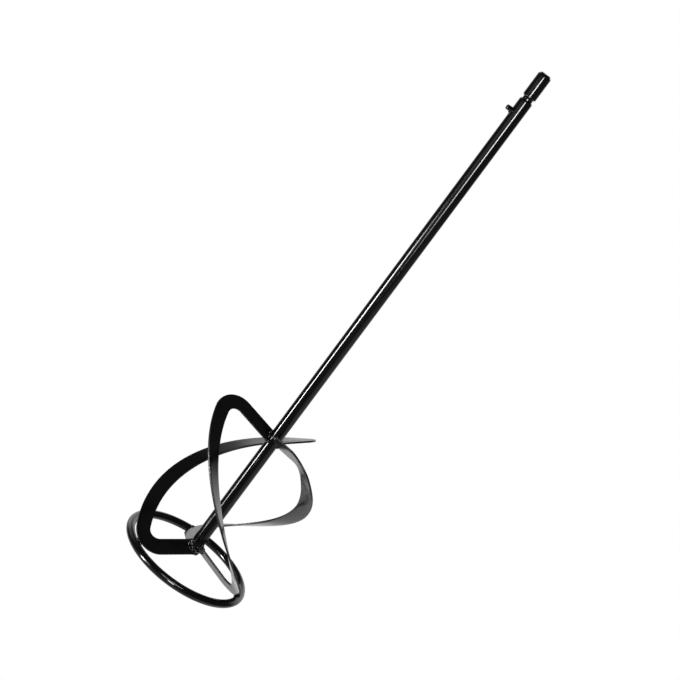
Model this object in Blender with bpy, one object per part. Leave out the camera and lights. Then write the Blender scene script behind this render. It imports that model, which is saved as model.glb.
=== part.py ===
"""Mortar mixing paddle, in metres, +Z up along the shaft.

One rigid weldment: a round shaft with a grooved shank end and a side drive pin, three twisted C-shaped
flat-bar blades round its lower end, a round-bar foot ring under them, and the weld runs that join all of
it. The shaft's axis is the Z axis and the foot ring's underside lies at z = 0.
"""

import math
from collections import namedtuple

import bmesh
import bpy
import numpy as np

# Shaft and shank
TOTAL_HEIGHT = 0.600
SHAFT_RADIUS = 0.0067
SHAFT_BOTTOM_Z = 0.0165
TIP_RADIUS = 0.0068
TIP_LENGTH = 0.0255
TIP_CHAMFER = 0.0024
TIP_LOWER_CHAMFER = 0.0012
NECK_RADIUS = 0.0051
NECK_LENGTH = 0.0022
SHOULDER_CHAMFER = 0.0014
END_CHAMFER = 0.0005
SHAFT_SIDES = 48

# Drive pin
PIN_RADIUS = 0.0025
PIN_REACH = 0.0125
PIN_DEPTH = 0.0030
PIN_Z = 0.556
PIN_AZIMUTH = math.radians(204)
PIN_CHAMFER = 0.0004
PIN_SIDES = 24

# Foot ring
RING_OUTER_RADIUS = 0.070
RING_BAR_RADIUS = 0.00435
RING_STEPS = 72
RING_BAR_SIDES = 16
RING_JOINT_AZIMUTH = math.radians(62)
RING_JOINT_WIDTH = 0.0030

# Blades: a flat bar, wider at the foot arm than at the head arm
BLADE_THICKNESS = 0.0019
FOOT_ARM_WIDTH = 0.0157
LEG_WIDTH = 0.0148
HEAD_ARM_WIDTH = 0.0136
FOOT_CORNER_RADIUS = 0.0196
HEAD_CORNER_RADIUS = 0.0174
LEG_BULGE = 0.0019
LEG_TAPER = 0.0008
LEG_EASE = -0.09
LEG_ROLL = math.radians(6.5)
ARM_ROOT_RADIUS = 0.0040
FOOT_ARM_RISE = 0.0151
HEAD_ARM_DROP = 0.0142
FOOT_ARM_SKEW = math.radians(29.5)
HEAD_ARM_SKEW = math.radians(6)
CORNER_STEPS = 14
ARM_STEPS = 5
LEG_STEPS = 56
LEG_SAMPLES = 240

# How each blade was set by hand before welding: the foot corner's azimuth, how far the leg turns round the
# shaft from foot to head, its outer radius, and the heights of its foot and head corners
BladeSetting = namedtuple("BladeSetting", "azimuth turn reach foot_z head_z")
BLADE_SETTINGS = (
    BladeSetting(math.radians(226.5), math.radians(-173), 0.0679, 0.0056, 0.1702),
    BladeSetting(math.radians(353.5), math.radians(-169), 0.0689, 0.0061, 0.1753),
    BladeSetting(math.radians(104), math.radians(-160.5), 0.0690, 0.0074, 0.1758),
)

# Weld metal
WELD_RADIUS = 0.0021
WELD_RIPPLE = 0.10
WELD_RIPPLE_PITCH = 0.0026
WELD_SIDES = 10
WELD_RINGS = 13
WELD_EDGE_MARGIN = 0.0016
RING_WELD_LENGTH = 0.0042
RING_WELD_PROUD = 0.0019
RING_WELD_SIDE = 0.0029
END_WELD_RADIUS = 0.0060
END_WELD_DEPTH = 0.0026

PIN_WELD_SPREAD = 0.0021
PIN_WELD_REACH = 0.0018
PIN_WELD_HEIGHT = 0.0023
RING_JOINT_CROWN = 0.0003
RING_JOINT_EDGE = 0.96
LUMP_RINGS = 8
LUMP_SIDES = 14

# The weld under the shaft's end, as (share of its radius, share of its depth) from the lowest point up
END_WELD_OUTLINE = ((0.35, 1.0), (0.75, 0.8), (0.97, 0.4), (1.0, 0.0))
END_WELD_SIDES = 24

GAP = 0.0003
CUTTER_REACH = 0.020
TANGENT_STEP = 0.0004
SMOOTH_ANGLE = math.radians(35)

PAINT_COLOUR = (0.012, 0.012, 0.013, 1.0)
PAINT_ROUGHNESS = 0.16
WELD_COLOUR = (0.016, 0.016, 0.017, 1.0)
WELD_ROUGHNESS = 0.28

RING_RADIUS = RING_OUTER_RADIUS - RING_BAR_RADIUS
ORIGIN = np.zeros(3)
UP = np.array([0.0, 0.0, 1.0])


def clear_scene():
    for item in list(bpy.data.objects):
        bpy.data.objects.remove(item, do_unlink=True)


def paint(name, colour, roughness):
    material = bpy.data.materials.new(name)
    material.use_nodes = True
    shader = material.node_tree.nodes["Principled BSDF"]
    shader.inputs["Base Color"].default_value = colour
    shader.inputs["Roughness"].default_value = roughness
    shader.inputs["Metallic"].default_value = 0.0
    return material


def add_object(name, points, faces, material):
    mesh = bpy.data.meshes.new(name)
    mesh.from_pydata([tuple(point) for point in points], [], faces)
    cleaner = bmesh.new()
    cleaner.from_mesh(mesh)
    bmesh.ops.recalc_face_normals(cleaner, faces=cleaner.faces)
    cleaner.to_mesh(mesh)
    cleaner.free()
    mesh.shade_smooth()
    mesh.set_sharp_from_angle(angle=SMOOTH_ANGLE)
    if material is not None:
        mesh.materials.append(material)
    item = bpy.data.objects.new(name, mesh)
    bpy.context.collection.objects.link(item)
    return item


def make_cutter(item):
    item.hide_render = True
    item.display_type = "WIRE"
    return item


def cut(item, cutters):
    for cutter in cutters:
        modifier = item.modifiers.new(f"cut_{cutter.name}", "BOOLEAN")
        modifier.operation = "DIFFERENCE"
        modifier.solver = "EXACT"
        modifier.object = cutter


def unit(vector):
    return vector / np.linalg.norm(vector)


def polar(radius, azimuth, z):
    return np.array([radius * math.cos(azimuth), radius * math.sin(azimuth), z])


def loft(sections):
    """Points and faces of a closed body through equal-sized sections, with a flat cap at each end."""
    size = len(sections[0])
    points = [point for section in sections for point in section]
    faces = [tuple(range(size)), tuple(range((len(sections) - 1) * size, len(sections) * size))]
    for row in range(len(sections) - 1):
        for i in range(size):
            low = row * size + i
            low_next = row * size + (i + 1) % size
            faces.append((low, low_next, low_next + size, low + size))
    return points, faces


def circle(centre, across, up, radius, sides):
    angles = [2 * math.pi * i / sides for i in range(sides)]
    return [centre + radius * (math.cos(a) * across + math.sin(a) * up) for a in angles]


def turned(name, profile, sides, material, origin=ORIGIN, axis=UP):
    """A body turned about an axis from (radius, height) pairs in order of height."""
    across = unit(np.cross(axis, np.eye(3)[np.argmin(np.abs(axis))]))
    up = np.cross(axis, across)
    sections = [circle(origin + axis * height, across, up, radius, sides) for radius, height in profile]
    return add_object(name, *loft(sections), material)


# Blade geometry


def leg_point(blade, u):
    """A point of the leg's centreline, from the foot corner (u = 0) to the head corner (u = 1)."""
    radius = blade.reach - LEG_WIDTH / 2 + LEG_BULGE * 4 * u * (1 - u) + LEG_TAPER * (0.5 - u)
    rise = u + LEG_EASE * math.sin(2 * math.pi * u) / (2 * math.pi)
    z = blade.foot_z + (blade.head_z - blade.foot_z) * rise
    return polar(radius, blade.azimuth + blade.turn * u, z)


def arm_root(blade, at_head):
    """The inner end of an arm's centreline, inside the shaft."""
    if at_head:
        azimuth = blade.azimuth + blade.turn + HEAD_ARM_SKEW
        return polar(ARM_ROOT_RADIUS, azimuth, blade.head_z - HEAD_ARM_DROP)
    return polar(ARM_ROOT_RADIUS, blade.azimuth + FOOT_ARM_SKEW, blade.foot_z + FOOT_ARM_RISE)


def along(points, lengths, distance):
    return np.array([np.interp(distance, lengths, points[:, axis]) for axis in range(3)])


def rounded_corner(root, leg, lengths, radius):
    """The arm from its root, and the round corner that leads it into the leg.

    leg holds the leg's points from this corner on. Returns the arm's points, the corner's points, the
    length of leg that the corner takes up, and the normal of the plane that holds arm and corner.
    """
    vertex = leg[0]
    arm_way = unit(vertex - root)
    leg_way = unit(leg[1] - leg[0])
    inside = math.acos(float(np.clip(-arm_way @ leg_way, -1, 1)))
    setback = radius / math.tan(inside / 2)
    start = vertex - arm_way * setback
    end = along(leg, lengths, setback)
    end_way = unit(along(leg, lengths, setback + TANGENT_STEP) - end)
    handle = 4 / 3 * math.tan((math.pi - inside) / 4) * radius
    arm = [root + (start - root) * i / ARM_STEPS for i in range(ARM_STEPS)]
    corner = []
    for i in range(CORNER_STEPS + 1):
        t = i / CORNER_STEPS
        corner.append(
            (1 - t) ** 3 * start
            + 3 * (1 - t) ** 2 * t * (start + arm_way * handle)
            + 3 * (1 - t) * t * t * (end - end_way * handle)
            + t**3 * end
        )
    return arm, corner, setback, unit(np.cross(arm_way, leg_way))


def eased(t):
    return t * t * (3 - 2 * t)


def blade_stations(blade):
    """Centre, tangent, normal and width at each station from the foot arm's root to the head arm's."""
    leg = np.array([leg_point(blade, i / LEG_SAMPLES) for i in range(LEG_SAMPLES + 1)])
    steps = np.linalg.norm(np.diff(leg, axis=0), axis=1)
    lengths = np.concatenate([[0], np.cumsum(steps)])
    back_lengths = lengths[-1] - lengths[::-1]
    foot_arm, foot_corner, foot_setback, foot_normal = rounded_corner(
        arm_root(blade, False), leg, lengths, FOOT_CORNER_RADIUS
    )
    head_arm, head_corner, head_setback, head_normal = rounded_corner(
        arm_root(blade, True), leg[::-1], back_lengths, HEAD_CORNER_RADIUS
    )
    distances = np.linspace(foot_setback, lengths[-1] - head_setback, LEG_STEPS + 1)[1:-1]
    middle = [along(leg, lengths, distance) for distance in distances]
    centres = np.array(foot_arm + foot_corner + middle + head_corner[::-1] + head_arm[::-1])
    tangents = np.gradient(centres, axis=0)
    tangents /= np.linalg.norm(tangents, axis=1)[:, None]

    foot_start = len(foot_arm)
    foot_end = foot_start + CORNER_STEPS
    head_start = len(foot_arm) + len(foot_corner) + len(middle)
    radial = centres * np.array([1, 1, 0])
    leg_normals = np.cross(tangents, radial)
    leg_normals /= np.linalg.norm(leg_normals, axis=1)[:, None]
    shares = np.clip((np.arange(len(centres)) - foot_end) / (head_start - foot_end), 0, 1)
    rolls = (LEG_ROLL * (2 * shares - 1))[:, None]
    leg_normals = leg_normals * np.cos(rolls) + np.cross(tangents, leg_normals) * np.sin(rolls)
    foot_normal = foot_normal * np.sign(foot_normal @ leg_normals[foot_end])
    head_normal = head_normal * np.sign(head_normal @ leg_normals[head_start])

    normals = []
    widths = []
    for i, tangent in enumerate(tangents):
        foot_share = 1 - eased(min(max((i - foot_start) / CORNER_STEPS, 0), 1))
        head_share = eased(min(max((i - head_start) / CORNER_STEPS, 0), 1))
        leg_share = 1 - foot_share - head_share
        leg_normal = leg_normals[min(max(i, foot_end), head_start)]
        normal = foot_share * foot_normal + head_share * head_normal + leg_share * leg_normal
        normals.append(unit(normal - (normal @ tangent) * tangent))
        widths.append(foot_share * FOOT_ARM_WIDTH + head_share * HEAD_ARM_WIDTH + leg_share * LEG_WIDTH)
    return centres, tangents, np.array(normals), np.array(widths)


def blade_sections(blade, grow=0.0):
    sections = []
    half = BLADE_THICKNESS / 2 + grow
    for centre, tangent, normal, width in zip(*blade_stations(blade)):
        side = np.cross(normal, tangent) * (width / 2 + grow)
        face = normal * half
        near_edge = centre - side
        far_edge = centre + side
        sections.append([near_edge - face, near_edge + face, far_edge + face, far_edge - face])
    return sections


# Weld geometry


def bead(name, path, radius, material):
    """A weld run: a lumpy round bar along a path, drawn in at both ends."""
    path = np.array(path)
    lengths = np.concatenate([[0], np.cumsum(np.linalg.norm(np.diff(path, axis=0), axis=1))])
    sections = []
    for i in range(WELD_RINGS):
        t = (i + 0.5) / WELD_RINGS
        distance = t * lengths[-1]
        centre = along(path, lengths, distance)
        before = along(path, lengths, distance - TANGENT_STEP)
        after = along(path, lengths, distance + TANGENT_STEP)
        way = unit(after - before)
        across = unit(np.cross(way, UP))
        taper = math.sqrt(1 - abs(2 * t - 1) ** 3)
        ripple = 1 + WELD_RIPPLE * math.cos(2 * math.pi * distance / WELD_RIPPLE_PITCH)
        sections.append(circle(centre, across, np.cross(way, across), radius * taper * ripple, WELD_SIDES))
    return add_object(name, *loft(sections), material)


def ellipsoid(name, centre, axes, material):
    """A smooth lump with the three half axes given as vectors."""
    sections = []
    for i in range(LUMP_RINGS):
        latitude = math.pi * ((i + 0.5) / LUMP_RINGS - 0.5)
        middle = centre + axes[0] * math.sin(latitude)
        spread = math.cos(latitude)
        sections.append(circle(middle, axes[1] * spread, axes[2] * spread, 1.0, LUMP_SIDES))
    return add_object(name, *loft(sections), material)


def root_corner_path(blade, at_head, face):
    """The line where one face of an arm meets the shaft's surface, across the arm's width."""
    centres, tangents, normals, widths = blade_stations(blade)
    index = -1 if at_head else 0
    way = -tangents[-1] if at_head else tangents[0]
    side = np.cross(normals[index], tangents[index])
    reach = widths[index] / 2 - WELD_EDGE_MARGIN
    path = []
    for i in range(WELD_RINGS):
        offset = reach * (2 * i / (WELD_RINGS - 1) - 1)
        start = centres[index] + side * offset + normals[index] * face * BLADE_THICKNESS / 2
        a = way[0] ** 2 + way[1] ** 2
        b = 2 * (start[0] * way[0] + start[1] * way[1])
        c = start[0] ** 2 + start[1] ** 2 - (SHAFT_RADIUS + GAP) ** 2
        distance = (-b + math.sqrt(max(b * b - 4 * a * c, 0))) / (2 * a)
        path.append(start + way * distance)
    return path


def behind_face_cutter(name, blade, at_head, face):
    """A block that holds all that lies behind one face of an arm near the shaft."""
    centres, tangents, normals = blade_stations(blade)[:3]
    index = -1 if at_head else 0
    side = np.cross(normals[index], tangents[index]) * CUTTER_REACH
    front = normals[index] * face * (BLADE_THICKNESS / 2 + GAP)
    back = normals[index] * -face * CUTTER_REACH
    sections = []
    for reach in (-CUTTER_REACH, CUTTER_REACH):
        end = centres[index] + tangents[index] * reach
        sections.append([end - side + front, end + side + front, end + side + back, end - side + back])
    return make_cutter(add_object(f"{name}_cutter", *loft(sections), None))


def nearest_to_ring(blade):
    """The blade's edge point nearest to the foot ring, and the point of the ring's centreline below it."""
    edges = np.array(blade_sections(blade)).reshape(-1, 3)
    radii = np.hypot(edges[:, 0], edges[:, 1])
    gaps = np.hypot(radii - RING_RADIUS, edges[:, 2] - RING_BAR_RADIUS)
    edge = edges[int(np.argmin(gaps))]
    return edge, polar(RING_RADIUS, math.atan2(edge[1], edge[0]), RING_BAR_RADIUS)


# The pieces


def make_shaft():
    top = TOTAL_HEIGHT
    tip_bottom = top - TIP_LENGTH
    neck_top = tip_bottom - (TIP_RADIUS - NECK_RADIUS) + TIP_LOWER_CHAMFER * 0.2
    neck_bottom = neck_top - NECK_LENGTH
    shoulder = neck_bottom - SHOULDER_CHAMFER
    profile = (
        (SHAFT_RADIUS - END_CHAMFER, SHAFT_BOTTOM_Z),
        (SHAFT_RADIUS, SHAFT_BOTTOM_Z + END_CHAMFER),
        (SHAFT_RADIUS, shoulder),
        (NECK_RADIUS, neck_bottom),
        (NECK_RADIUS, neck_top),
        (TIP_RADIUS, tip_bottom),
        (TIP_RADIUS, top - TIP_CHAMFER),
        (TIP_RADIUS - TIP_CHAMFER, top),
    )
    shaft = turned("shaft", profile, SHAFT_SIDES, paint("shaft_paint", PAINT_COLOUR, PAINT_ROUGHNESS))
    hole = turned(
        "pin_hole_cutter",
        ((PIN_RADIUS + GAP, -PIN_DEPTH - GAP), (PIN_RADIUS + GAP, PIN_REACH)),
        PIN_SIDES,
        None,
        polar(0, 0, PIN_Z),
        polar(1, PIN_AZIMUTH, 0),
    )
    cut(shaft, [make_cutter(hole)])


def make_drive_pin(shaft_cutter):
    profile = (
        (PIN_RADIUS - PIN_CHAMFER, -PIN_DEPTH),
        (PIN_RADIUS, -PIN_DEPTH + PIN_CHAMFER),
        (PIN_RADIUS, PIN_REACH - PIN_CHAMFER),
        (PIN_RADIUS - PIN_CHAMFER, PIN_REACH),
    )
    axis = polar(1, PIN_AZIMUTH, 0)
    origin = polar(0, 0, PIN_Z)
    material = paint("drive_pin_paint", PAINT_COLOUR, PAINT_ROUGHNESS)
    turned("drive_pin", profile, PIN_SIDES, material, origin, axis)
    clearance = ((PIN_RADIUS + GAP, -PIN_DEPTH), (PIN_RADIUS + GAP, PIN_REACH))
    pin_cutter = make_cutter(turned("pin_cutter", clearance, PIN_SIDES, None, origin, axis))
    corner = polar(SHAFT_RADIUS, PIN_AZIMUTH, PIN_Z - PIN_RADIUS)
    side = polar(1, PIN_AZIMUTH + math.pi / 2, 0)
    weld = ellipsoid(
        "drive_pin_weld",
        corner,
        (side * PIN_WELD_SPREAD, axis * PIN_WELD_REACH, UP * PIN_WELD_HEIGHT),
        paint("drive_pin_weld_paint", WELD_COLOUR, WELD_ROUGHNESS),
    )
    cut(weld, [shaft_cutter, pin_cutter])


def make_ring():
    half_gap = RING_JOINT_WIDTH / 2 / RING_RADIUS
    span = 2 * math.pi - 2 * half_gap
    sections = []
    for i in range(RING_STEPS + 1):
        azimuth = RING_JOINT_AZIMUTH + half_gap + span * i / RING_STEPS
        outward = polar(1, azimuth, 0)
        centre = polar(RING_RADIUS, azimuth, RING_BAR_RADIUS)
        sections.append(circle(centre, outward, UP, RING_BAR_RADIUS, RING_BAR_SIDES))
    add_object("foot_ring", *loft(sections), paint("foot_ring_paint", PAINT_COLOUR, PAINT_ROUGHNESS))


def make_ring_joint_weld():
    """The bead that closes the ring, ground flush underneath and standing slightly proud on top."""
    half = RING_JOINT_WIDTH / 2 - GAP
    profile = (
        (RING_BAR_RADIUS * RING_JOINT_EDGE, -half),
        (RING_BAR_RADIUS + RING_JOINT_CROWN, 0),
        (RING_BAR_RADIUS * RING_JOINT_EDGE, half),
    )
    turned(
        "foot_ring_joint_weld",
        profile,
        RING_BAR_SIDES,
        paint("foot_ring_joint_weld_paint", WELD_COLOUR, WELD_ROUGHNESS),
        polar(RING_RADIUS, RING_JOINT_AZIMUTH, RING_BAR_RADIUS + RING_JOINT_CROWN),
        polar(1, RING_JOINT_AZIMUTH + math.pi / 2, 0),
    )


def make_ring_cutter():
    sections = []
    for i in range(RING_STEPS):
        azimuth = 2 * math.pi * i / RING_STEPS
        outward = polar(1, azimuth, 0)
        centre = polar(RING_RADIUS, azimuth, RING_BAR_RADIUS)
        sections.append(circle(centre, outward, UP, RING_BAR_RADIUS + GAP, RING_BAR_SIDES))
    size = RING_BAR_SIDES
    faces = []
    for row in range(RING_STEPS):
        after = (row + 1) % RING_STEPS
        for i in range(size):
            j = (i + 1) % size
            faces.append((row * size + i, row * size + j, after * size + j, after * size + i))
    points = [point for section in sections for point in section]
    return make_cutter(add_object("ring_cutter", points, faces, None))


def make_blade(number, blade, shaft_cutter):
    name = f"blade_{number}"
    material = paint(f"{name}_paint", PAINT_COLOUR, PAINT_ROUGHNESS)
    item = add_object(name, *loft(blade_sections(blade)), material)
    cut(item, [shaft_cutter])
    return make_cutter(add_object(f"{name}_cutter", *loft(blade_sections(blade, GAP)), None))


def make_blade_welds(number, blade, blade_cutter, shaft_cutter, ring_cutter):
    for end, at_head in (("foot", False), ("head", True)):
        for face_name, face in (("upper", 1), ("lower", -1)):
            name = f"{end}_hub_weld_{number}_{face_name}"
            path = root_corner_path(blade, at_head, face)
            weld = bead(name, path, WELD_RADIUS, paint(f"{name}_paint", WELD_COLOUR, WELD_ROUGHNESS))
            cut(weld, [shaft_cutter, behind_face_cutter(name, blade, at_head, face)])
    edge, ring_point = nearest_to_ring(blade)
    inward = unit(edge - ring_point)
    free = np.linalg.norm(edge - ring_point) - RING_BAR_RADIUS
    centre = ring_point + inward * (RING_BAR_RADIUS + free / 2)
    ring_way = unit(np.cross(UP, ring_point * np.array([1, 1, 0])))
    axes = (
        ring_way * RING_WELD_LENGTH,
        inward * (free / 2 + RING_WELD_PROUD),
        np.cross(ring_way, inward) * RING_WELD_SIDE,
    )
    name = f"ring_weld_{number}"
    weld = ellipsoid(name, centre, axes, paint(f"{name}_paint", WELD_COLOUR, WELD_ROUGHNESS))
    cut(weld, [ring_cutter, blade_cutter])


def make_shaft_end_weld():
    top = SHAFT_BOTTOM_Z - GAP
    profile = [(END_WELD_RADIUS * out, top - END_WELD_DEPTH * down) for out, down in END_WELD_OUTLINE]
    material = paint("shaft_end_weld_paint", WELD_COLOUR, WELD_ROUGHNESS)
    turned("shaft_end_weld", profile, END_WELD_SIDES, material)


def main():
    clear_scene()
    clearance = ((SHAFT_RADIUS + GAP, 0.0), (SHAFT_RADIUS + GAP, TOTAL_HEIGHT))
    shaft_cutter = make_cutter(turned("shaft_cutter", clearance, SHAFT_SIDES, None))
    ring_cutter = make_ring_cutter()
    make_shaft()
    make_drive_pin(shaft_cutter)
    make_ring()
    make_ring_joint_weld()
    make_shaft_end_weld()
    for number, blade in enumerate(BLADE_SETTINGS, start=1):
        blade_cutter = make_blade(number, blade, shaft_cutter)
        make_blade_welds(number, blade, blade_cutter, shaft_cutter, ring_cutter)


main()
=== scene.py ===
"""Looks of the mortar mixing paddle: a gloss-black painted weldment in a white studio.

Every CAD node is replaced by a finer piece on the same dimensions: turned steel with eased edges, flat bar
with rounded edges, a smooth ring, and lumpy weld runs with spatter. The shaft's axis is the Z axis.
"""

import math
import random
from collections import namedtuple

import bmesh
import bpy
import numpy as np
from mathutils import Matrix, Vector, noise


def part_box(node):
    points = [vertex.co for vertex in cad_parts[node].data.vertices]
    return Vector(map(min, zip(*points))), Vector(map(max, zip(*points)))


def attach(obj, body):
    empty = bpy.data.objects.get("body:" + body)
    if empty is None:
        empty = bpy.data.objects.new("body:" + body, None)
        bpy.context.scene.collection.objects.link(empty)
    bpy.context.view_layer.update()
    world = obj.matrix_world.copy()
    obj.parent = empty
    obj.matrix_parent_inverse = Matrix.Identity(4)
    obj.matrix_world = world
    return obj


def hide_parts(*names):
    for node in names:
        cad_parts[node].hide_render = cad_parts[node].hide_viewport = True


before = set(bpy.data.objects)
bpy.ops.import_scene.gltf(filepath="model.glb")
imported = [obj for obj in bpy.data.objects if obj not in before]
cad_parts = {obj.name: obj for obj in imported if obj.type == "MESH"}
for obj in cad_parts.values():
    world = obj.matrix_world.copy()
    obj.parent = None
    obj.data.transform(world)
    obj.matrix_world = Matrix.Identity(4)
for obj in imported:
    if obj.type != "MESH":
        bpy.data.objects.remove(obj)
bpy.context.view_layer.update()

MM = 0.001
ORIGIN = np.zeros(3)
UP = np.array([0, 0, 1.0])

# Turned shaft and shank; lengths and radii as on the part
SHAFT_RADIUS = 6.7 * MM
TIP_RADIUS = 6.8 * MM
TIP_LENGTH = 25.5 * MM
TIP_CHAMFER = 2.4 * MM
TIP_LOWER_CHAMFER = 1.2 * MM
NECK_RADIUS = 5.1 * MM
NECK_LENGTH = 2.2 * MM
SHOULDER_CHAMFER = 1.4 * MM
END_CHAMFER = 0.5 * MM
TURNED_EDGE_RADIUS = 0.35 * MM
CENTRE_RADIUS = 1.0 * MM
SHAFT_SIDES = 128
SHAFT_ROWS = 60

# Drive pin
PIN_RADIUS = 2.5 * MM
PIN_REACH = 12.5 * MM
PIN_DEPTH = 3.0 * MM
PIN_AZIMUTH = math.radians(204)
PIN_CHAMFER = 0.4 * MM
PIN_EDGE_RADIUS = 0.25 * MM
PIN_CENTRE_RADIUS = 0.3 * MM
PIN_SIDES = 48

# Foot ring
RING_JOINT_AZIMUTH = math.radians(62)
RING_STEPS = 288
RING_BAR_SIDES = 48

# Blades
BLADE_THICKNESS = 1.9 * MM
BLADE_EDGE_RADIUS = 0.25 * MM
FOOT_ARM_WIDTH = 15.7 * MM
LEG_WIDTH = 14.8 * MM
HEAD_ARM_WIDTH = 13.6 * MM
FOOT_CORNER_RADIUS = 19.6 * MM
HEAD_CORNER_RADIUS = 17.4 * MM
LEG_BULGE = 1.9 * MM
LEG_TAPER = 0.8 * MM
LEG_EASE = -0.09
LEG_ROLL = math.radians(6.5)
ARM_ROOT_RADIUS = 4.0 * MM
FOOT_ARM_RISE = 15.1 * MM
HEAD_ARM_DROP = 14.2 * MM
FOOT_ARM_SKEW = math.radians(29.5)
HEAD_ARM_SKEW = math.radians(6)
CORNER_STEPS = 28
ARM_STEPS = 16
LEG_STEPS = 150
LEG_SAMPLES = 480
FACE_CELLS = 6
TANGENT_STEP = 0.4 * MM
EDGE_CELLS = 4

# Each blade as on the part: the foot corner's azimuth, how far the leg turns round the shaft from foot to
# head, its outer radius, and the heights of its foot and head corners
BladeSetting = namedtuple("BladeSetting", "azimuth turn reach foot_z head_z")
BLADE_SETTINGS = (
    BladeSetting(math.radians(226.5), math.radians(-173), 67.9 * MM, 5.6 * MM, 170.2 * MM),
    BladeSetting(math.radians(353.5), math.radians(-169), 68.9 * MM, 6.1 * MM, 175.3 * MM),
    BladeSetting(math.radians(104), math.radians(-160.5), 69.0 * MM, 7.4 * MM, 175.8 * MM),
)

# Weld metal: overlapping drops, melted together. A row of drops has a share of the drop radius, a distance
# out along the arm and a lift off its face.
DROP_PITCH = 1.05 * MM
DROP_RADIUS = 1.75 * MM
DROP_SPREAD = 0.30
HEAD_WELD_ROWS = ((1.0, 0.0, 0.0),)
FOOT_WELD_ROWS = ((1.0, 0.0, 0.0), (0.8, 2.4 * MM, 0.0), (0.8, -0.6 * MM, 1.5 * MM))
WELD_EDGE_MARGIN = 1.0 * MM
WELD_VOXEL = 0.22 * MM
SPATTER_COUNT = 7
HEAD_SPATTER_COUNT = 2
SPATTER_RADIUS = 0.42 * MM
SPATTER_REACH = 7.0 * MM

# The ring welds: drops set out along the ring, largest in the middle
RING_WELD_DROPS = 7
RING_WELD_REACH = 3.3 * MM
RING_WELD_RADIUS = 2.3 * MM
RING_WELD_TAPER = 0.22 * MM

# The ring's butt weld: drops round the bar
JOINT_DROPS = 14
JOINT_DROP_RADIUS = 1.35 * MM
JOINT_DROP_DEPTH = 1.3 * MM

# The drive pin's tack weld: a row of drops in the lower corner and one more below it
PIN_WELD_DROPS = 5
PIN_WELD_SPREAD = 1.5 * MM
PIN_WELD_RADIUS = 1.15 * MM
PIN_WELD_OFFSET = 0.3 * MM
PIN_WELD_SINK = 0.5 * MM
PIN_WELD_LAST_SINK = 1.5 * MM
PIN_WELD_LAST_RADIUS = 0.9 * MM

# The weld under the shaft's end: drops set out in a spiral, lowest in the middle
END_WELD_DROPS = 22
END_WELD_TURN = 2.4
END_WELD_REACH = 5.2 * MM
END_WELD_DROP_RADIUS = 1.5 * MM
END_WELD_SINK = 0.6 * MM
END_WELD_CROWN = 0.8 * MM

# How far the melted weld metal is roughened, its lumps per metre, and the fade, spacing and number of the
# finer layers of lumps
ROUGH_FOOT = 0.14 * MM
ROUGH_HEAD = 0.08 * MM
ROUGH_SMALL = 0.05 * MM
ROUGH_FREQUENCY = 1100
ROUGH_FADE = 0.9
ROUGH_SPACING = 2.2
ROUGH_LAYERS = 3

# Seeds of the random draws
PIN_WELD_SEED = 5
JOINT_SEED = 9
END_WELD_SEED = 3
RING_WELD_SEED = 70

# Camera: distance from the target, height above the horizon, and the roll that lays the shaft diagonally
CAMERA_TARGET = Vector((-6.6 * MM, 0.0, 282.0 * MM))
CAMERA_DISTANCE = 1.7
CAMERA_ELEVATION = math.radians(15.85)
CAMERA_ROLL = math.radians(36.59)
CAMERA_LENS = 93.9
SENSOR_WIDTH = 36.0

# Enamel: colour from dark to light, roughness from low to high, and the strengths of its orange peel and
# waviness. Scales are noise cells per metre.
Paint = namedtuple("Paint", "name dark light gloss_low gloss_high peel peel_scale waviness")
ROUND_BAR_PAINT = Paint(
    "round_bar_paint", 0.013, 0.018, 0.10, 0.15, peel=0.015, peel_scale=420, waviness=0.04
)
FLAT_BAR_PAINT = Paint("flat_bar_paint", 0.026, 0.036, 0.12, 0.20, peel=0.03, peel_scale=420, waviness=0.08)
EDGE_PAINT = Paint("flat_bar_edge_paint", 0.014, 0.020, 0.36, 0.50, peel=0.03, peel_scale=420, waviness=0.08)
WELD_PAINT = Paint("weld_paint", 0.006, 0.012, 0.06, 0.16, peel=0.30, peel_scale=1600, waviness=0.3)
BLOTCH_SCALE = 60
SMUDGE_SCALE = 140
WAVE_SCALE = 30
WAVE_DEPTH = 0.4 * MM
PEEL_DEPTH = 0.12 * MM
PAINT_IOR = 1.52

# Lights, which only reflections see. A strip light draws a line of light along the shaft; the line lies at a
# share of the shaft's half width that changes evenly between two heights. Each strip is made of overlapping
# lengths, so that its line fades at the ends: the heights on the shaft where a length begins and ends, and
# its radiance.
StripLight = namedtuple("StripLight", "name heights shares width lengths")
STRIP_DISTANCE = 1.5
STRIPS = (
    StripLight(
        "left_strip",
        (-0.06, 0.415),
        (-0.49, -0.44),
        0.24,
        ((-0.06, 0.430, 3), (0.060, 0.415, 6), (0.085, 0.400, 8), (0.110, 0.385, 15), (0.140, 0.370, 16)),
    ),
    StripLight(
        "front_strip",
        (0.420, 0.66),
        (0.045, 0.02),
        0.28,
        ((0.390, 0.66, 4), (0.430, 0.66, 6), (0.465, 0.66, 10), (0.500, 0.66, 10)),
    ),
)

# Level panel lights that face the foot ring; azimuth is turned from the camera's side toward +X
PanelLight = namedtuple("PanelLight", "name azimuth elevation width height radiance")
PANEL_DISTANCE = 1.5
PANELS = (
    PanelLight("side_panel", math.radians(-49), 0.0, width=0.58, height=0.22, radiance=7),
    PanelLight("top_panel", math.radians(4), math.radians(42), width=0.90, height=0.26, radiance=9),
)

ROOM_GLOW = 0.06
FLOOR_REACH = 30.0

shaft_low, shaft_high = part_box("shaft")
ring_low, ring_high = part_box("foot_ring")
pin_low, pin_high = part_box("drive_pin")
SHAFT_BOTTOM_Z = shaft_low.z
TOTAL_HEIGHT = shaft_high.z
PIN_Z = (pin_low.z + pin_high.z) / 2
RING_BAR_RADIUS = (ring_high.z - ring_low.z) / 2
RING_RADIUS = (ring_high.x - ring_low.x) / 2 - RING_BAR_RADIUS


# Mesh helpers


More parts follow.
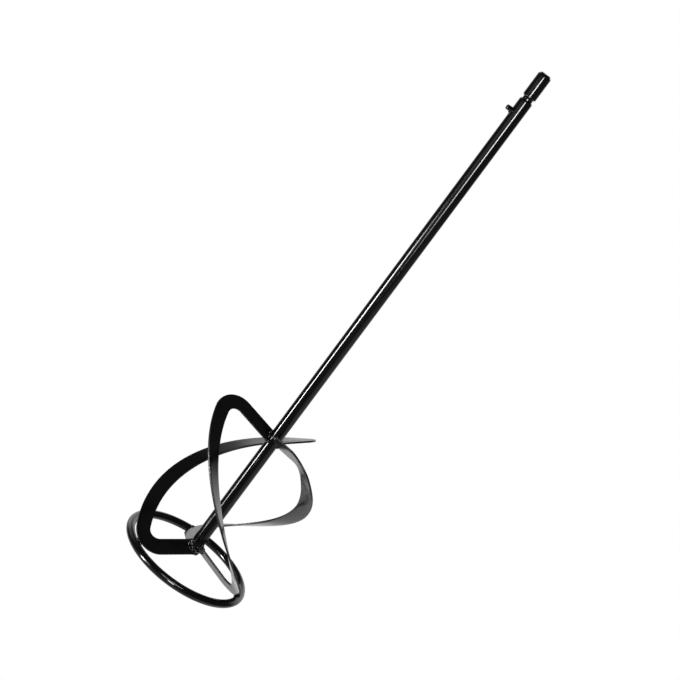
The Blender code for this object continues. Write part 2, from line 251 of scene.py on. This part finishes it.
def unit(vector):
    return vector / np.linalg.norm(vector)


def polar(radius, azimuth, z):
    return np.array([radius * math.cos(azimuth), radius * math.sin(azimuth), z])


def eased(t):
    return t * t * (3 - 2 * t)


def along(points, lengths, distance):
    return np.array([np.interp(distance, lengths, points[:, axis]) for axis in range(3)])


def circle(centre, across, up, radius, sides):
    angles = [2 * math.pi * i / sides for i in range(sides)]
    return [centre + radius * (math.cos(a) * across + math.sin(a) * up) for a in angles]


def add_piece(name, points, faces, material, slot, smooth_angle=math.radians(40)):
    """A mesh piece that stands for the CAD node of the same name."""
    mesh = bpy.data.meshes.new(name)
    mesh.from_pydata([tuple(point) for point in points], [], faces)
    cleaner = bmesh.new()
    cleaner.from_mesh(mesh)
    bmesh.ops.recalc_face_normals(cleaner, faces=cleaner.faces)
    cleaner.to_mesh(mesh)
    cleaner.free()
    mesh.shade_smooth()
    mesh.set_sharp_from_angle(angle=smooth_angle)
    mesh.materials.append(material)
    piece = bpy.data.objects.new(f"{name}_finish", mesh)
    bpy.context.scene.collection.objects.link(piece)
    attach(piece, "root")
    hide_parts(name)
    return piece


def loft(sections, closed=False):
    """Points and faces through equal-sized sections: a ring if closed, or a body with two flat caps."""
    size = len(sections[0])
    points = [point for section in sections for point in section]
    rows = len(sections)
    faces = [] if closed else [tuple(range(size)), tuple(range((rows - 1) * size, rows * size))]
    for row in range(rows if closed else rows - 1):
        after = (row + 1) % rows
        for i in range(size):
            j = (i + 1) % size
            faces.append((row * size + i, row * size + j, after * size + j, after * size + i))
    return points, faces


def rounded_profile(corners, radius, steps=4):
    """(radius, height) pairs with each inner corner of the outline replaced by a small arc."""
    outline = [np.array(corner) for corner in corners]
    rounded = [outline[0]]
    for before, corner, after in zip(outline, outline[1:], outline[2:]):
        way_in = unit(corner - before)
        way_out = unit(after - corner)
        turn = math.acos(float(np.clip(way_in @ way_out, -1, 1)))
        room = min(np.linalg.norm(corner - before), np.linalg.norm(after - corner)) * 0.45
        setback = min(radius * math.tan(turn / 2), room)
        start = corner - way_in * setback
        end = corner + way_out * setback
        for i in range(steps + 1):
            t = i / steps
            rounded.append((1 - t) ** 2 * start + 2 * (1 - t) * t * corner + t * t * end)
    rounded.append(outline[-1])
    return rounded


def turned(profile, sides, origin=ORIGIN, axis=UP):
    """Points and faces of a body turned about an axis from (radius, height) pairs in order of height."""
    off_axis = [0.31, 0.17, 0.93] if abs(axis[2]) < 0.9 else [0, 1.0, 0]
    across = unit(np.cross(axis, off_axis))
    up = np.cross(axis, across)
    return loft([circle(origin + axis * height, across, up, radius, sides) for radius, height in profile])


# Blade geometry


def leg_point(blade, u):
    """A point of the leg's centreline, from the foot corner (u = 0) to the head corner (u = 1)."""
    radius = blade.reach - LEG_WIDTH / 2 + LEG_BULGE * 4 * u * (1 - u) + LEG_TAPER * (0.5 - u)
    rise = u + LEG_EASE * math.sin(2 * math.pi * u) / (2 * math.pi)
    z = blade.foot_z + (blade.head_z - blade.foot_z) * rise
    return polar(radius, blade.azimuth + blade.turn * u, z)


def arm_root(blade, at_head):
    """The inner end of an arm's centreline, inside the shaft."""
    if at_head:
        azimuth = blade.azimuth + blade.turn + HEAD_ARM_SKEW
        return polar(ARM_ROOT_RADIUS, azimuth, blade.head_z - HEAD_ARM_DROP)
    return polar(ARM_ROOT_RADIUS, blade.azimuth + FOOT_ARM_SKEW, blade.foot_z + FOOT_ARM_RISE)


def rounded_corner(root, leg, lengths, radius):
    """The arm from its root, the round corner into the leg, the leg it takes up, and their plane's normal."""
    vertex = leg[0]
    arm_way = unit(vertex - root)
    leg_way = unit(leg[1] - leg[0])
    inside = math.acos(float(np.clip(-arm_way @ leg_way, -1, 1)))
    setback = radius / math.tan(inside / 2)
    start = vertex - arm_way * setback
    end = along(leg, lengths, setback)
    end_way = unit(along(leg, lengths, setback + TANGENT_STEP) - end)
    handle = 4 / 3 * math.tan((math.pi - inside) / 4) * radius
    arm = [root + (start - root) * i / ARM_STEPS for i in range(ARM_STEPS)]
    corner = []
    for i in range(CORNER_STEPS + 1):
        t = i / CORNER_STEPS
        corner.append(
            (1 - t) ** 3 * start
            + 3 * (1 - t) ** 2 * t * (start + arm_way * handle)
            + 3 * (1 - t) * t * t * (end - end_way * handle)
            + t**3 * end
        )
    return arm, corner, setback, unit(np.cross(arm_way, leg_way))


def blade_stations(blade):
    """Centre, tangent, normal and width at each station from the foot arm's root to the head arm's."""
    leg = np.array([leg_point(blade, i / LEG_SAMPLES) for i in range(LEG_SAMPLES + 1)])
    steps = np.linalg.norm(np.diff(leg, axis=0), axis=1)
    lengths = np.concatenate([[0], np.cumsum(steps)])
    back_lengths = lengths[-1] - lengths[::-1]
    foot_arm, foot_corner, foot_setback, foot_normal = rounded_corner(
        arm_root(blade, False), leg, lengths, FOOT_CORNER_RADIUS
    )
    head_arm, head_corner, head_setback, head_normal = rounded_corner(
        arm_root(blade, True), leg[::-1], back_lengths, HEAD_CORNER_RADIUS
    )
    distances = np.linspace(foot_setback, lengths[-1] - head_setback, LEG_STEPS + 1)[1:-1]
    middle = [along(leg, lengths, distance) for distance in distances]
    centres = np.array(foot_arm + foot_corner + middle + head_corner[::-1] + head_arm[::-1])
    tangents = np.gradient(centres, axis=0)
    tangents /= np.linalg.norm(tangents, axis=1)[:, None]

    foot_start = len(foot_arm)
    foot_end = foot_start + CORNER_STEPS
    head_start = len(foot_arm) + len(foot_corner) + len(middle)
    radial = centres * np.array([1, 1, 0])
    leg_normals = np.cross(tangents, radial)
    leg_normals /= np.linalg.norm(leg_normals, axis=1)[:, None]
    shares = np.clip((np.arange(len(centres)) - foot_end) / (head_start - foot_end), 0, 1)
    rolls = (LEG_ROLL * (2 * shares - 1))[:, None]
    leg_normals = leg_normals * np.cos(rolls) + np.cross(tangents, leg_normals) * np.sin(rolls)
    foot_normal = foot_normal * np.sign(foot_normal @ leg_normals[foot_end])
    head_normal = head_normal * np.sign(head_normal @ leg_normals[head_start])

    normals = []
    widths = []
    for i, tangent in enumerate(tangents):
        foot_share = 1 - eased(min(max((i - foot_start) / CORNER_STEPS, 0), 1))
        head_share = eased(min(max((i - head_start) / CORNER_STEPS, 0), 1))
        leg_share = 1 - foot_share - head_share
        leg_normal = leg_normals[min(max(i, foot_end), head_start)]
        normal = foot_share * foot_normal + head_share * head_normal + leg_share * leg_normal
        normals.append(unit(normal - (normal @ tangent) * tangent))
        widths.append(foot_share * FOOT_ARM_WIDTH + head_share * HEAD_ARM_WIDTH + leg_share * LEG_WIDTH)
    return centres, tangents, np.array(normals), np.array(widths)


def bar_section(width, thickness, radius):
    """The outline of rolled flat bar as (across, through) pairs: flat faces with rounded edges."""
    half_width = width / 2
    half_thickness = thickness / 2
    outline = []
    for corner, (side, face) in enumerate(((1, 1), (-1, 1), (-1, -1), (1, -1))):
        centre = np.array([side * (half_width - radius), face * (half_thickness - radius)])
        for i in range(EDGE_CELLS + 1):
            angle = math.pi / 2 * (corner + i / EDGE_CELLS)
            outline.append(centre + radius * np.array([math.cos(angle), math.sin(angle)]))
        if corner % 2 == 0:
            start = outline[-1]
            end = start * np.array([-1, 1])
            outline.extend(start + (end - start) * i / FACE_CELLS for i in range(1, FACE_CELLS))
    return outline


def blade_sections(blade):
    sections = []
    for centre, tangent, normal, width in zip(*blade_stations(blade)):
        side = np.cross(normal, tangent)
        outline = bar_section(width, BLADE_THICKNESS, BLADE_EDGE_RADIUS)
        sections.append([centre + side * across + normal * through for across, through in outline])
    return sections


# Weld metal


def sphere(centre, axes, rings=7, sides=12):
    """Points and faces of a closed ball with the three half axes given as vectors."""
    sections = []
    for i in range(rings):
        latitude = math.pi * ((i + 0.5) / rings - 0.5)
        middle = centre + axes[0] * math.sin(latitude)
        ring = circle(middle, axes[1] * math.cos(latitude), axes[2] * math.cos(latitude), 1.0, sides)
        sections.append(ring)
    return loft(sections)


def melt(name, drops, material, roughen):
    """One weld piece from overlapping drops: joined by a voxel remesh, smoothed, then roughened."""
    points = []
    faces = []
    for centre, axes in drops:
        drop_points, drop_faces = sphere(centre, axes)
        faces.extend(tuple(i + len(points) for i in face) for face in drop_faces)
        points.extend(drop_points)
    piece = add_piece(name, points, faces, material, "weld_paint")
    remesh = piece.modifiers.new("melt", "REMESH")
    remesh.mode = "VOXEL"
    remesh.voxel_size = WELD_VOXEL
    remesh.use_smooth_shade = True
    settle = piece.modifiers.new("settle", "SMOOTH")
    settle.factor = 0.5
    settle.iterations = 3
    bpy.context.view_layer.update()
    evaluated = piece.evaluated_get(bpy.context.evaluated_depsgraph_get())
    mesh = bpy.data.meshes.new_from_object(evaluated)
    piece.modifiers.clear()
    old = piece.data
    piece.data = mesh
    bpy.data.meshes.remove(old)
    mesh.name = name
    for vertex in mesh.vertices:
        place = vertex.co
        lump = noise.fractal(place * ROUGH_FREQUENCY, ROUGH_FADE, ROUGH_SPACING, ROUGH_LAYERS)
        vertex.co = place + vertex.normal * lump * roughen
    mesh.shade_smooth()
    return piece


def round_drop(centre, radius, chance):
    axes = np.array([chance.gauss(0, 1) for _ in range(9)]).reshape(3, 3)
    axes, _ = np.linalg.qr(axes)
    stretch = [1 + DROP_SPREAD * chance.uniform(-1, 1) for _ in range(3)]
    return centre, [axis * radius * share for axis, share in zip(axes, stretch)]


def root_corner_path(blade, at_head, face, count):
    """Points across an arm where one of its faces meets the shaft, and the directions away from them."""
    centres, tangents, normals, widths = blade_stations(blade)
    index = -1 if at_head else 0
    way = -tangents[-1] if at_head else tangents[0]
    side = np.cross(normals[index], tangents[index])
    reach = widths[index] / 2 - WELD_EDGE_MARGIN
    path = []
    for i in range(count):
        offset = reach * (2 * i / (count - 1) - 1)
        start = centres[index] + side * offset + normals[index] * face * BLADE_THICKNESS / 2
        a = way[0] ** 2 + way[1] ** 2
        b = 2 * (start[0] * way[0] + start[1] * way[1])
        c = start[0] ** 2 + start[1] ** 2 - SHAFT_RADIUS**2
        distance = (-b + math.sqrt(max(b * b - 4 * a * c, 0))) / (2 * a)
        path.append(start + way * distance)
    return path, way, normals[index] * face, side


def add_hub_weld(name, blade, at_head, face, material, seed):
    """A fillet run of drops along one face of an arm's root, with spatter on the arm beside it."""
    chance = random.Random(seed)
    count = int((FOOT_ARM_WIDTH - 2 * WELD_EDGE_MARGIN) / DROP_PITCH)
    path, way, outward, side = root_corner_path(blade, at_head, face, count)
    drops = []
    for share, reach, lift in HEAD_WELD_ROWS if at_head else FOOT_WELD_ROWS:
        for point in path:
            radius = DROP_RADIUS * share * chance.uniform(0.8, 1.2)
            jitter = way * chance.uniform(-0.4, 0.5) + outward * chance.uniform(-0.2, 0.35)
            drops.append(round_drop(point + way * reach + outward * lift + jitter * MM, radius, chance))
    for _ in range(HEAD_SPATTER_COUNT if at_head else SPATTER_COUNT):
        start = path[chance.randrange(len(path))]
        place = start + way * chance.uniform(0.35, 1.0) * SPATTER_REACH + side * chance.uniform(-1, 1) * MM
        drops.append(round_drop(place, SPATTER_RADIUS * chance.uniform(0.6, 1.2), chance))
    return melt(name, drops, material, ROUGH_HEAD if at_head else ROUGH_FOOT)


def nearest_to_ring(blade):
    """The blade's edge point nearest to the foot ring, and the point of the ring's centreline below it."""
    edges = np.array(blade_sections(blade)).reshape(-1, 3)
    radii = np.hypot(edges[:, 0], edges[:, 1])
    gaps = np.hypot(radii - RING_RADIUS, edges[:, 2] - RING_BAR_RADIUS)
    edge = edges[int(np.argmin(gaps))]
    return edge, polar(RING_RADIUS, math.atan2(edge[1], edge[0]), RING_BAR_RADIUS)


def add_ring_weld(name, blade, material, seed):
    chance = random.Random(seed)
    edge, ring_point = nearest_to_ring(blade)
    inward = unit(edge - ring_point)
    ring_way = unit(np.cross(UP, ring_point * np.array([1, 1, 0])))
    free = np.linalg.norm(edge - ring_point) - RING_BAR_RADIUS
    centre = ring_point + inward * (RING_BAR_RADIUS + free / 2)
    drops = []
    middle = (RING_WELD_DROPS - 1) // 2
    for i in range(RING_WELD_DROPS):
        offset = (i / middle - 1) * RING_WELD_REACH
        radius = (RING_WELD_RADIUS - RING_WELD_TAPER * abs(i - middle)) * chance.uniform(0.9, 1.1)
        jitter = inward * chance.uniform(-0.3, 0.3) * MM
        drops.append(round_drop(centre + ring_way * offset + jitter, radius, chance))
    return melt(name, drops, material, ROUGH_FOOT)


# Materials


def link(tree, from_socket, to_socket):
    tree.links.new(from_socket, to_socket)


def noise_node(tree, place, scale, detail, roughness=0.5):
    node = tree.nodes.new("ShaderNodeTexNoise")
    node.inputs["Scale"].default_value = scale
    node.inputs["Detail"].default_value = detail
    node.inputs["Roughness"].default_value = roughness
    link(tree, place, node.inputs["Vector"])
    return node.outputs["Fac"]


def remap(tree, value, from_low, from_high, to_low, to_high):
    node = tree.nodes.new("ShaderNodeMapRange")
    node.interpolation_type = "SMOOTHSTEP"
    node.inputs["From Min"].default_value = from_low
    node.inputs["From Max"].default_value = from_high
    node.inputs["To Min"].default_value = to_low
    node.inputs["To Max"].default_value = to_high
    link(tree, value, node.inputs["Value"])
    return node.outputs["Result"]


def bump(tree, height, strength, distance, under=None):
    node = tree.nodes.new("ShaderNodeBump")
    node.inputs["Strength"].default_value = strength
    node.inputs["Distance"].default_value = distance
    link(tree, height, node.inputs["Height"])
    if under is not None:
        link(tree, under, node.inputs["Normal"])
    return node.outputs["Normal"]


def gloss_paint(paint):
    """Black enamel: orange peel, gentle waviness, and a gloss that varies where the film is thin or dusty."""
    material = bpy.data.materials.new(paint.name)
    material.use_nodes = True
    tree = material.node_tree
    shader = tree.nodes["Principled BSDF"]
    place = tree.nodes.new("ShaderNodeTexCoord").outputs["Object"]
    blotch = noise_node(tree, place, BLOTCH_SCALE, 4, 0.6)
    ramp = tree.nodes.new("ShaderNodeValToRGB")
    ramp.color_ramp.elements[0].position = 0.35
    ramp.color_ramp.elements[0].color = (paint.dark, paint.dark, paint.dark, 1)
    ramp.color_ramp.elements[1].position = 0.72
    ramp.color_ramp.elements[1].color = (paint.light, paint.light, paint.light, 1)
    link(tree, blotch, ramp.inputs["Fac"])
    link(tree, ramp.outputs["Color"], shader.inputs["Base Color"])
    smudge = noise_node(tree, place, SMUDGE_SCALE, 5, 0.65)
    gloss = remap(tree, smudge, 0.35, 0.75, paint.gloss_low, paint.gloss_high)
    link(tree, gloss, shader.inputs["Roughness"])
    wave = bump(tree, noise_node(tree, place, WAVE_SCALE, 1), paint.waviness, WAVE_DEPTH)
    skin = bump(tree, noise_node(tree, place, paint.peel_scale, 3, 0.55), paint.peel, PEEL_DEPTH, wave)
    link(tree, skin, shader.inputs["Normal"])
    shader.inputs["Metallic"].default_value = 0.0
    shader.inputs["IOR"].default_value = PAINT_IOR
    return material


# Pieces


def make_shaft(material):
    top = TOTAL_HEIGHT
    tip_bottom = top - TIP_LENGTH
    neck_top = tip_bottom - (TIP_RADIUS - NECK_RADIUS) + TIP_LOWER_CHAMFER * 0.2
    neck_bottom = neck_top - NECK_LENGTH
    shoulder = neck_bottom - SHOULDER_CHAMFER
    corners = (
        (CENTRE_RADIUS, SHAFT_BOTTOM_Z),
        (SHAFT_RADIUS - END_CHAMFER, SHAFT_BOTTOM_Z),
        (SHAFT_RADIUS, SHAFT_BOTTOM_Z + END_CHAMFER),
        (SHAFT_RADIUS, shoulder),
        (NECK_RADIUS, neck_bottom),
        (NECK_RADIUS, neck_top),
        (TIP_RADIUS, tip_bottom),
        (TIP_RADIUS, top - TIP_CHAMFER),
        (TIP_RADIUS - TIP_CHAMFER, top),
        (CENTRE_RADIUS, top),
    )
    profile = rounded_profile(corners, TURNED_EDGE_RADIUS)
    straight = max(range(1, len(profile)), key=lambda i: np.linalg.norm(profile[i] - profile[i - 1]))
    start, end = profile[straight - 1], profile[straight]
    rows = [start + (end - start) * i / SHAFT_ROWS for i in range(1, SHAFT_ROWS)]
    profile[straight:straight] = rows
    add_piece("shaft", *turned(profile, SHAFT_SIDES), material, "shaft_paint")


def make_drive_pin(material, weld_material):
    corners = (
        (PIN_CENTRE_RADIUS, -PIN_DEPTH),
        (PIN_RADIUS, -PIN_DEPTH),
        (PIN_RADIUS, PIN_REACH - PIN_CHAMFER),
        (PIN_RADIUS - PIN_CHAMFER, PIN_REACH),
        (PIN_CENTRE_RADIUS, PIN_REACH),
    )
    axis = polar(1, PIN_AZIMUTH, 0)
    profile = rounded_profile(corners, PIN_EDGE_RADIUS)
    add_piece("drive_pin", *turned(profile, PIN_SIDES, polar(0, 0, PIN_Z), axis), material, "shaft_paint")
    chance = random.Random(PIN_WELD_SEED)
    corner = polar(SHAFT_RADIUS, PIN_AZIMUTH, PIN_Z - PIN_RADIUS)
    side = polar(1, PIN_AZIMUTH + math.pi / 2, 0)
    drops = []
    middle = (PIN_WELD_DROPS - 1) // 2
    for i in range(PIN_WELD_DROPS):
        sideways = side * (i / middle - 1) * PIN_WELD_SPREAD
        place = corner + sideways + polar(0, 0, -PIN_WELD_SINK) + axis * PIN_WELD_OFFSET
        drops.append(round_drop(place, PIN_WELD_RADIUS * chance.uniform(0.85, 1.15), chance))
    drops.append(round_drop(corner + polar(0, 0, -PIN_WELD_LAST_SINK), PIN_WELD_LAST_RADIUS, chance))
    melt("drive_pin_weld", drops, weld_material, ROUGH_SMALL)


def make_ring(material, weld_material):
    sections = []
    for i in range(RING_STEPS):
        azimuth = 2 * math.pi * i / RING_STEPS
        centre = polar(RING_RADIUS, azimuth, RING_BAR_RADIUS)
        outward = polar(1, azimuth, 0)
        sections.append(circle(centre, outward, UP, RING_BAR_RADIUS, RING_BAR_SIDES))
    add_piece("foot_ring", *loft(sections, closed=True), material, "ring_paint")
    chance = random.Random(JOINT_SEED)
    centre = polar(RING_RADIUS, RING_JOINT_AZIMUTH, RING_BAR_RADIUS)
    outward = polar(1, RING_JOINT_AZIMUTH, 0)
    drops = []
    for i in range(JOINT_DROPS):
        angle = 2 * math.pi * i / JOINT_DROPS
        direction = outward * math.cos(angle) + UP * math.sin(angle)
        place = centre + direction * (RING_BAR_RADIUS - JOINT_DROP_DEPTH)
        drops.append(round_drop(place, JOINT_DROP_RADIUS, chance))
    melt("foot_ring_joint_weld", drops, weld_material, ROUGH_SMALL)


def make_blades(blade_material, edge_material, weld_material):
    """The blades, with a rougher paint on their edges than on their two flat faces, and their welds."""
    outline_size = len(bar_section(LEG_WIDTH, BLADE_THICKNESS, BLADE_EDGE_RADIUS))
    half = outline_size // 2
    for number, blade in enumerate(BLADE_SETTINGS, start=1):
        piece = add_piece(f"blade_{number}", *loft(blade_sections(blade)), blade_material, "blade_paint")
        piece.data.materials.append(edge_material)
        for polygon in piece.data.polygons:
            place = (polygon.index - 2) % half
            if polygon.index > 1 and not EDGE_CELLS <= place < EDGE_CELLS + FACE_CELLS:
                polygon.material_index = 1
        for end, at_head in (("foot", False), ("head", True)):
            for face_name, face in (("upper", 1), ("lower", -1)):
                seed = number * 10 + at_head * 4 + face
                name = f"{end}_hub_weld_{number}_{face_name}"
                add_hub_weld(name, blade, at_head, face, weld_material, seed)
        add_ring_weld(f"ring_weld_{number}", blade, weld_material, RING_WELD_SEED + number)


def make_shaft_end_weld(material):
    chance = random.Random(END_WELD_SEED)
    drops = []
    for i in range(END_WELD_DROPS):
        radius = END_WELD_REACH * math.sqrt((i + 0.5) / END_WELD_DROPS)
        depth = END_WELD_SINK + END_WELD_CROWN * (1 - i / END_WELD_DROPS)
        place = polar(radius, i * END_WELD_TURN, SHAFT_BOTTOM_Z - depth)
        drops.append(round_drop(place, END_WELD_DROP_RADIUS * chance.uniform(0.8, 1.2), chance))
    melt("shaft_end_weld", drops, material, ROUGH_FOOT)


# Studio


def add_camera():
    back = Vector((0, -math.cos(CAMERA_ELEVATION), math.sin(CAMERA_ELEVATION)))
    right = Vector((1, 0, 0))
    up = back.cross(right)
    level = Matrix((right, up, back)).transposed()
    data = bpy.data.cameras.new("camera")
    data.lens = CAMERA_LENS
    data.sensor_width = SENSOR_WIDTH
    data.clip_end = 100
    camera = bpy.data.objects.new("camera", data)
    turn = level @ Matrix.Rotation(CAMERA_ROLL, 3, "Z")
    camera.matrix_world = Matrix.Translation(CAMERA_TARGET + back * CAMERA_DISTANCE) @ turn.to_4x4()
    bpy.context.scene.collection.objects.link(camera)
    bpy.context.scene.camera = camera
    return camera


def mirror_ray(camera, height, share):
    """Where light comes from that mirrors in the shaft, at a height and a share of its half width."""
    centre = Vector((0, 0, height))
    level_view = (camera.matrix_world.translation - centre) * Vector((1, 1, 0))
    level_view.normalize()
    across = Vector((-level_view.y, level_view.x, 0))
    normal = across * share + level_view * math.sqrt(1 - share * share)
    surface = centre + normal * SHAFT_RADIUS
    view = (camera.matrix_world.translation - surface).normalized()
    return surface, 2 * view.dot(normal) * normal - view


def add_area_light(name, middle, right, up, back, width, height, radiance):
    """A rectangular light that only reflections see, facing away from back."""
    data = bpy.data.lights.new(name, "AREA")
    data.shape = "RECTANGLE"
    data.size = width
    data.size_y = height
    data.energy = radiance * math.pi * data.size * data.size_y
    light = bpy.data.objects.new(name, data)
    light.visible_diffuse = False
    light.matrix_world = Matrix.Translation(middle) @ Matrix((right, up, back)).transposed().to_4x4()
    bpy.context.scene.collection.objects.link(light)


def add_strip_light(name, camera, low, high, width, radiance):
    """A strip light that draws a line of light along the shaft between two (height, share) places."""
    mirrors = (mirror_ray(camera, *low), mirror_ray(camera, *high))
    ends = [surface + ray * STRIP_DISTANCE for surface, ray in mirrors]
    middle = (ends[0] + ends[1]) / 2
    target = Vector((0, 0, (low[0] + high[0]) / 2))
    back = (middle - target).normalized()
    right = (ends[1] - ends[0]).normalized().cross(back).normalized()
    up = back.cross(right)
    add_area_light(name, middle, right, up, back, width, (ends[1] - ends[0]).length, radiance)


def add_panel_light(panel):
    level = math.cos(panel.elevation)
    across = math.sin(panel.azimuth)
    toward = math.cos(panel.azimuth)
    back = Vector((across * level, -toward * level, math.sin(panel.elevation)))
    right = Vector((toward, across, 0))
    up = back.cross(right)
    middle = back * PANEL_DISTANCE
    add_area_light(panel.name, middle, right, up, back, panel.width, panel.height, panel.radiance)


def make_floor():
    """A white floor just under the ring, which only the camera sees."""
    mesh = bpy.data.meshes.new("floor")
    reach = FLOOR_REACH
    corners = [(-reach, -reach, -MM), (reach, -reach, -MM), (reach, reach, -MM), (-reach, reach, -MM)]
    mesh.from_pydata(corners, [], [(0, 1, 2, 3)])
    material = bpy.data.materials.new("floor_white")
    material.use_nodes = True
    tree = material.node_tree
    tree.nodes.clear()
    glow = tree.nodes.new("ShaderNodeEmission")
    output = tree.nodes.new("ShaderNodeOutputMaterial")
    link(tree, glow.outputs["Emission"], output.inputs["Surface"])
    mesh.materials.append(material)
    floor = bpy.data.objects.new("floor", mesh)
    bpy.context.scene.collection.objects.link(floor)
    floor.visible_glossy = False
    floor.visible_diffuse = False
    floor.visible_shadow = False


def add_world():
    """White where the camera looks; for reflections a dark room with pale patches of wall and floor."""
    world = bpy.data.worlds.new("studio")
    world.use_nodes = True
    bpy.context.scene.world = world
    tree = world.node_tree
    tree.nodes.clear()
    direction = tree.nodes.new("ShaderNodeTexCoord").outputs["Generated"]
    split = tree.nodes.new("ShaderNodeSeparateXYZ")
    link(tree, direction, split.inputs["Vector"])
    x, y, z = (split.outputs[axis] for axis in "XYZ")

    def combine(operation, a, b):
        node = tree.nodes.new("ShaderNodeMath")
        node.operation = operation
        for socket, value in zip(node.inputs, (a, b)):
            if isinstance(value, (int, float)):
                socket.default_value = value
            else:
                link(tree, value, socket)
        return node.outputs["Value"]

    def fade(value, start, end, before, after):
        return remap(tree, value, start, end, before, after)

    # Each patch is a product of fades along the world's axes; the camera stands at -Y and looks toward +Y
    backdrop = (fade(y, 0.45, 0.80, 0, 1.0), fade(z, 0.35, 0.62, 1, 0), fade(z, -0.20, 0, 0.5, 1))
    left_wall = (
        fade(x, -0.65, -0.40, 0.5, 0),
        fade(y, 0.05, 0.45, 0, 1),
        fade(z, -0.05, 0.15, 0, 1),
        fade(z, 0.55, 0.80, 1, 0),
    )
    back_floor = (fade(y, -0.10, 0.40, 0, 0.12), fade(z, -0.48, -0.30, 1, 0))
    right_floor = (fade(x, 0.45, 0.85, 0, 0.36), fade(z, -0.30, -0.17, 1, 0))
    floor_below = (fade(z, -0.65, -0.38, 0.45, 0),)
    low_band = (
        fade(z, -0.22, -0.16, 0, 0.4),
        fade(z, -0.06, 0.02, 1, 0),
        fade(x, -0.25, -0.10, 1, 0),
        fade(y, -0.55, -0.35, 1, 0),
    )
    total = ROOM_GLOW
    for patch in (backdrop, left_wall, back_floor, right_floor, floor_below, low_band):
        glow = patch[0]
        for mask in patch[1:]:
            glow = combine("MULTIPLY", glow, mask)
        total = combine("ADD", glow, total)
    room = tree.nodes.new("ShaderNodeBackground")
    link(tree, total, room.inputs["Strength"])
    white = tree.nodes.new("ShaderNodeBackground")
    white.inputs["Color"].default_value = (1, 1, 1, 1)
    room.inputs["Color"].default_value = (1, 1, 1, 1)
    path = tree.nodes.new("ShaderNodeLightPath")
    mix = tree.nodes.new("ShaderNodeMixShader")
    output = tree.nodes.new("ShaderNodeOutputWorld")
    link(tree, path.outputs["Is Camera Ray"], mix.inputs["Fac"])
    link(tree, room.outputs["Background"], mix.inputs[1])
    link(tree, white.outputs["Background"], mix.inputs[2])
    link(tree, mix.outputs["Shader"], output.inputs["Surface"])


def main():
    round_bar = gloss_paint(ROUND_BAR_PAINT)
    flat_bar = gloss_paint(FLAT_BAR_PAINT)
    edge = gloss_paint(EDGE_PAINT)
    weld = gloss_paint(WELD_PAINT)
    make_shaft(round_bar)
    make_drive_pin(round_bar, weld)
    make_ring(round_bar, weld)
    make_blades(flat_bar, edge, weld)
    make_shaft_end_weld(weld)

    camera = add_camera()
    for strip in STRIPS:
        for number, (low, high, radiance) in enumerate(strip.lengths, start=1):
            ends = [(z, float(np.interp(z, strip.heights, strip.shares))) for z in (low, high)]
            add_strip_light(f"{strip.name}_{number}", camera, *ends, strip.width, radiance)
    for panel in PANELS:
        add_panel_light(panel)
    make_floor()
    add_world()
    bpy.context.scene.view_settings.view_transform = "Standard"


main()
